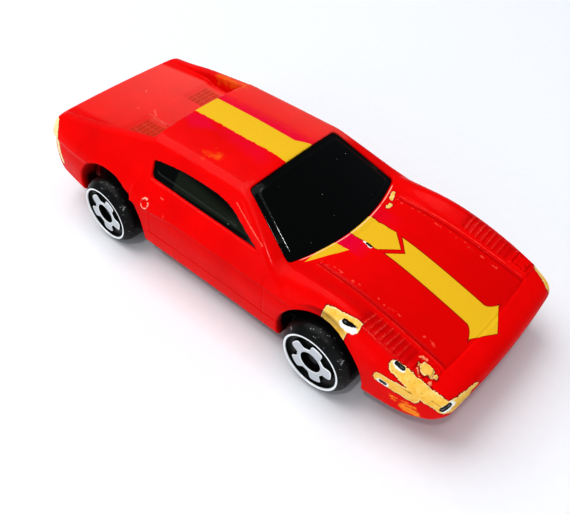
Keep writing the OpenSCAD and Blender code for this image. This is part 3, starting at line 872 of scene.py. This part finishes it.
def body_paint():
    """Thin glossy red over yellow undercoat and zinc, worn by play, with painted sheen, highlights and shade."""
    paint = Finish("body_paint", Specular_IOR_Level=0.03, Coat_Roughness=0.1)
    p = paint.place
    x, y, z = p.parts()
    a = abs(y)
    rag = p.noise(0.9, 4, 0.65)
    fine = p.noise(4.0, 3, 0.6)
    broad = p.noise(0.16, 3)
    up = z.above(UPPER_Z, 0.2)
    colour = blend_colour(broad.above(0.52, 0.25) * 0.5, RED, DARK_RED)
    # painted sheen: the deck and the far half of the roof turn paler and pinker, mottled, standing for a soft
    # reflection
    painted_sheen = (x.below(-16.2, 0.3) * (a - 9.6 + z * 0.05).below(0, 0.3) * y.above(0, 16)).max(
        x.below(4, 1) * y.above(4.0, 5.0) * z.above(17.5, 0.5) * 0.6) * z.above(13.6, 0.3) * 0.4
    colour = blend_colour(painted_sheen * (fine * 0.5 + 0.75), colour, SHEEN_PINK)
    # darker red in the louvres, painted shade on the front lid and in its groove, brown in the deck's vents, and
    # orange blooms
    louvres = (abs(x - 26.2) - 3.9).below(0, 0.4) * (abs(a - 11.45) - 1.5).below(0, 0.3) * up
    colour = blend_colour(louvres * (fine * 0.7), colour, DEEP_RED)
    # painted shade: the front lid grows darker towards its front
    lid_shade = (a - x * 0.033 - 8.2).below(0, 0.2) * x.below(33.2, 0.2)
    lid_shade = lid_shade * (x - 14).math("MULTIPLY", 1 / 19, clamp=True) * up
    colour = blend_colour(lid_shade * 0.5, colour, DARK_RED)
    # painted shade: a dark band in the groove round the lid
    groove = (abs(a - x * 0.033 - 8.0) - 0.22).below(0, 0.2) * (abs(x - 23.2) - 9.6).below(0, 0.2) * up
    colour = blend_colour(groove * 0.45, colour, DEEP_RED)
    vents = (abs(x + 21.85) - 2.3).below(0, 0.4) * (abs(a - 6.0) - 2.3).below(0, 0.4) * z.above(13, 0.2)
    slots = (x * (2 * math.pi / VENT_PITCH)).math("COSINE") * 0.14 + fine * 0.5 + 0.16
    colour = blend_colour(vents * slots, colour, VENT_BROWN)
    bloom = paint.rods(((-22.5, 9.9, 17.0), (-15.8, 8.0, 18.5), 0.9),
                       ((-6.8, -7.5, 19.1), (-5.8, -7.1, 19.15), 0.3))
    colour = blend_colour((bloom + (rag - 0.5) * 5).below(0, 0.7) * (fine * 0.5 + 0.25), colour, ORANGE)

    # painted shade: near black inside the wheel wells
    front_x, rear_x = x - (FRONT_AXLE[0] - ARCH_BACK), x - (REAR_AXLE[0] - ARCH_BACK)
    well_shade = (front_x * front_x).min(rear_x * rear_x) + (z - 5.1) * (z - 5.1)
    well_shade = well_shade.below(WELL_R ** 2, 2) * a.below(14.0, 0.5) * 0.97

    # print
    yellow, outline, crimson = stripe_masks(x, y, z, rag)
    colour = blend_colour(crimson * up, colour, CRIMSON)
    colour = blend_colour(outline.below(0, 0.04) * up, colour, DEEP_RED)
    ink = blend_colour(fine, YELLOW, DULL_YELLOW)
    printed = yellow.below(0, 0.03) * up
    colour = blend_colour(printed, colour, ink)

    # scratches, painted highlights, a rubbed seam, and chips; the right lamp cover is worn too
    marks_and_highlights, seam = marks(paint, rag, fine)
    colour = blend_colour(marks_and_highlights.min(1.0) * 0.85, colour, PALE_RED)
    # the rubbed seam, and the painted highlight on the filler cap's ring
    colour = blend_colour(seam * 0.8, colour, RUB_AND_GLINT)
    worn, scraped, crack, primer, metal = chips(paint, rag, fine)
    plan = p.vector("MULTIPLY", (1, 1, 0))
    boss = spots(plan, (0, 0, 0.76), (0.25, 0.1, 0.72), (-0.9, 0.05, 0.2), (1.25, 0.2, 0.3),
                 (1.0, -0.15, 0.2))
    pinks = spots(plan, (-0.75, -0.65, 0.15), (-0.45, -0.85, 0.16), (-0.1, -1.1, 0.14), (1.2, -0.9, 0.24),
                  (-1.35, 0.85, 0.16), (-1.05, 1.0, 0.22), (-0.65, 1.15, 0.17))
    colour = blend_colour((pinks + (fine - 0.5) * 0.3).below(0, 0.05) * z.above(9.6, 0.1), colour, SALMON)
    worn = worn.min((boss + (fine - 0.5) * 0.4).max(9.6 - z))
    edge = (worn - 0.13).below(0, 0.05)
    colour = blend_colour(edge, colour, DEEP_RED)
    under = blend_colour(p.noise(1.1, 4, 0.7).above(0.5, 0.15), UNDERCOAT, LIGHT_UNDERCOAT)
    under = blend_colour(p.noise(2.6, 4, 0.7).above(0.62, 0.03) * 0.6, under, RUST)
    under = blend_colour((worn + 0.1).above(0, 0.05) * 0.7, under, PALE)
    # painted light: the bare undercoat at the tail is paler, as if lit brighter
    under = blend_colour(x.below(-30, 1) * 0.8, under, PALE)
    bare = worn.below(0, 0.03)
    colour = blend_colour(scraped.below(0, 0.12) * 0.9, colour, SCRAPE)
    colour = blend_colour(bare, colour, under)
    colour = blend_colour(crack.below(0, 0.04) * 0.8, colour, CRACK)
    colour = blend_colour(primer.below(0, 0.06), colour, PRIMER)
    colour = blend_colour((metal - 0.1).below(0, 0.03), colour, ZINC_RIM)
    colour = blend_colour((metal + 0.08).below(0, 0.04), colour, ZINC)
    paint.link("Base Color", blend_colour(well_shade, colour, WELL_SHADE))
    paint.link("Coat Weight", blend_number(z.above(14, 1), 0.035, 0.12))
    paint.link("Roughness", blend_number(rag, 0.28, 0.42))
    paint.bump(p.noise(1.6, 2) * 0.5 + fine * 0.12, 0.05)
    return paint.material


# ---------------------------------------------------------------- other materials


def dark_glazing():
    """Nearly black gloss, greener low in the side windows, with a few specks of dust."""
    glaze = Finish("dark_glazing", Specular_IOR_Level=0.05, Coat_Weight=0.26, Coat_Roughness=0.04)
    p = glaze.place
    x, y, z = p.parts()
    in_side = abs(y).above(9.6, 0.2) * (x + 9.6).above(0, 0.15) * (z - 14.6).above(0, 0.1)
    greener = in_side * (z + x * 0.11).below(15.9, 0.4)
    dust = p.cells(0.9).below(0.045, 0.02) * p.noise(0.8, 1).above(0.56, 0.02)
    tone = blend_colour(greener, (0.001, 0.001, 0.001), (0.011, 0.014, 0.008))
    glaze.link("Base Color", blend_colour(dust, tone, (0.5, 0.5, 0.48)))
    glaze.link("Roughness", blend_number(p.noise(0.35, 3), 0.04, 0.13))
    glaze.bump(p.noise(3.0, 2), 0.01)
    return glaze.material


def wheel_plastic():
    """Black moulding whose raised face is stamped with silver foil, rubbed at its edges."""
    mould = Finish("wheel_plastic", Specular_IOR_Level=0.16)
    p = mould.place
    x, depth, z = p.parts()
    r = (x * x + z * z).math("SQRT")
    rub = p.noise(1.7, 4, 0.6)
    raised = depth.above(-0.2, 0.03)
    foil = raised * r.below(RIM_OUT + 0.02, 0.04) * r.above(HUB_HOLE + 0.02, 0.04)
    foil = foil * rub.below(0.74, 0.02)
    ring = r.above(RIM_IN - 0.05, 0.03)
    scuff = r.above(RIM_OUT, 0.1) * p.noise(1.1, 5, 0.75).above(0.63, 0.02) * depth.above(-2.2, 0.4)
    rim = depth.below(-0.09, 0.015)
    tone = blend_colour(ring.max(rim), (0.55, 0.57, 0.60), (0.90, 0.91, 0.92))
    black = blend_colour(scuff * 0.75, (0.003, 0.003, 0.003), (0.4, 0.4, 0.39))
    mould.link("Base Color", blend_colour(foil, black, tone))
    mould.link("Metallic", foil * 0.2)
    mould.link("Roughness", blend_number(foil, blend_number(rub, 0.25, 0.5), 0.28))
    mould.bump(p.noise(2.5, 3) * 0.4 + rub * 0.2, 0.03)
    return mould.material


def satin_plastic(name, tone, grain=2.2):
    """Textured black moulding, a little dusty."""
    mould = Finish(name, Specular_IOR_Level=0.35)
    p = mould.place
    dusty = p.noise(0.25, 4, 0.6)
    pale = tuple(2.2 * c + 0.004 for c in tone)
    mould.link("Base Color", blend_colour(dusty.above(0.5, 0.15), tone, pale))
    mould.link("Roughness", blend_number(dusty, 0.42, 0.7))
    mould.bump(p.noise(grain, 3) * 0.6 + p.noise(grain * 5, 2) * 0.3, 0.03)
    return mould.material


def steel(name, tone, stretch):
    """Bare metal with fine marks drawn out along one axis, and dark stains."""
    metal = Finish(name, Metallic=1.0)
    p = metal.place
    drawn = p.vector("MULTIPLY", stretch).noise(6.0, 3)
    stains = p.noise(0.9, 4, 0.7).above(0.62, 0.06)
    bright = blend_colour(drawn, tone, tuple(0.6 * c for c in tone))
    metal.link("Base Color", blend_colour(stains * 0.6, bright, (0.05, 0.035, 0.03)))
    metal.link("Roughness", blend_number(drawn, 0.25, 0.5))
    metal.bump(drawn, 0.01)
    return metal.material


def backdrop():
    """Pale matt card."""
    card = Finish("backdrop", Specular_IOR_Level=0.2)
    fibres = card.place.noise(0.7, 4)
    card.link("Base Color", blend_colour(fibres, (0.86, 0.86, 0.885), (0.83, 0.83, 0.86)))
    card.link("Roughness", blend_number(fibres, 0.6, 0.75))
    card.bump(fibres, 0.02)
    return card.material


# ---------------------------------------------------------------- pieces

STEP = 0.2
WHEEL_STEP = 0.1

body_mesh = mesh_of("body_casting", casting, (-37.6, -15.8, 3.2), (37.6, 15.8, 20.2), STEP)
piece("body_casting", body_mesh, "car", body_paint(), "body_shell")

glass_mesh = mesh_of("glazing", glazing, (-16.4, -13.4, 11.6), (14.6, 13.4, 19.8), 0.75 * STEP)
piece("glazing", glass_mesh, "car", dark_glazing(), "window_insert")

# each wheel is a copy of one mesh, turned by its own angle
wheel_mesh = mesh_of("wheel", wheel, (-5.6, -4.4, -5.6), (5.6, 0.3, 5.6), WHEEL_STEP)
black_wheel = wheel_plastic()
for end, centre, turn in (("front", FRONT_AXLE, 36), ("rear", REAR_AXLE, 20)):
    for side, sign in (("left", 1), ("right", -1)):
        node = f"wheel_{end}_{side}"
        spot = Vector((centre[0], sign * (WHEEL_FACE + FACE_OUT), centre[2])) * MM
        place = Matrix.Translation(spot) @ Matrix.Rotation(math.pi * (sign < 0), 4, "Z")
        turned = wheel_mesh.copy()
        turned.transform(Matrix.Rotation(math.radians(turn), 4, "Y"))
        piece(f"{node}_moulding", turned, node, black_wheel, node, place)

# the CAD nodes that stay get materials of their own
kept = bpy.data.objects
finish_in(kept["chassis_base"], satin_plastic("base_plastic", (0.012, 0.012, 0.013)))
finish_in(kept["interior_tub"], satin_plastic("interior_plastic", (0.015, 0.015, 0.015), 3.0))
for name in ("front_axle", "rear_axle"):
    finish_in(kept[name], steel(f"{name}_steel", (0.06, 0.06, 0.06), (1, 0.06, 1)))
for name in ("rivet_front", "rivet_rear"):
    finish_in(kept[name], steel(f"{name}_metal", (0.5, 0.5, 0.49), (1, 1, 0.3)))

# ---------------------------------------------------------------- stage, light and camera

FLOOR = 1.5              # half the floor's side, in metres
floor_mesh = bpy.data.meshes.new("floor")
floor_mesh.from_pydata([(-FLOOR, -FLOOR, 0), (FLOOR, -FLOOR, 0), (FLOOR, FLOOR, 0), (-FLOOR, FLOOR, 0)], [],
                       [(0, 1, 2, 3)])
floor = bpy.data.objects.new("floor", floor_mesh)
bpy.context.scene.collection.objects.link(floor)
floor.data.materials.append(backdrop())

world = bpy.data.worlds.new("soft_room")
bpy.context.scene.world = world
world.use_nodes = True
room = world.node_tree.nodes["Background"]
room.inputs["Color"].default_value = (0.86, 0.95, 1.0, 1.0)
room.inputs["Strength"].default_value = 0.26


def softbox(name, azimuth, elevation, distance, size, watts, tint=(1, 1, 1)):
    """A square area light aimed at the car; angles in degrees, distance and size in metres."""
    data = bpy.data.lights.new(name, "AREA")
    data.color = tint
    data.size = size
    data.energy = watts
    lamp = bpy.data.objects.new(name, data)
    az, el = math.radians(azimuth), math.radians(elevation)
    away = Vector((math.cos(el) * math.cos(az), math.cos(el) * math.sin(az), math.sin(el)))
    lamp.location = away * distance
    lamp.rotation_euler = away.to_track_quat("Z", "Y").to_euler()
    bpy.context.scene.collection.objects.link(lamp)


SKY = (0.88, 0.96, 1.0)
softbox("window", 186, 60, 0.8, 0.7, 3.6)
softbox("ceiling", 180, 84, 0.9, 0.7, 1.8)
softbox("fill", -38, 17, 0.9, 0.7, 1.8, SKY)
softbox("side", -105, 14, 0.9, 0.5, 1.2, SKY)
softbox("lamp", -68, 62, 0.7, 0.04, 0.55)

CAMERA_AT = Vector((48.412, -55.388, 73.795)) * MM
AZIMUTH, ELEVATION, ROLL = math.radians(40.998), math.radians(45.588), math.radians(1.025)
VIEW_ANGLE = math.radians(45.924)
camera_data = bpy.data.cameras.new("camera")
camera_data.angle = VIEW_ANGLE
camera_data.clip_start = 0.005
camera = bpy.data.objects.new("camera", camera_data)
bpy.context.scene.collection.objects.link(camera)
camera.matrix_world = (Matrix.Translation(CAMERA_AT) @ Matrix.Rotation(AZIMUTH, 4, "Z")
                       @ Matrix.Rotation(math.pi / 2 - ELEVATION, 4, "X") @ Matrix.Rotation(ROLL, 4, "Z"))
bpy.context.scene.camera = camera
bpy.context.scene.view_settings.view_transform = "Standard"
bpy.context.scene.view_settings.look = "Medium High Contrast"
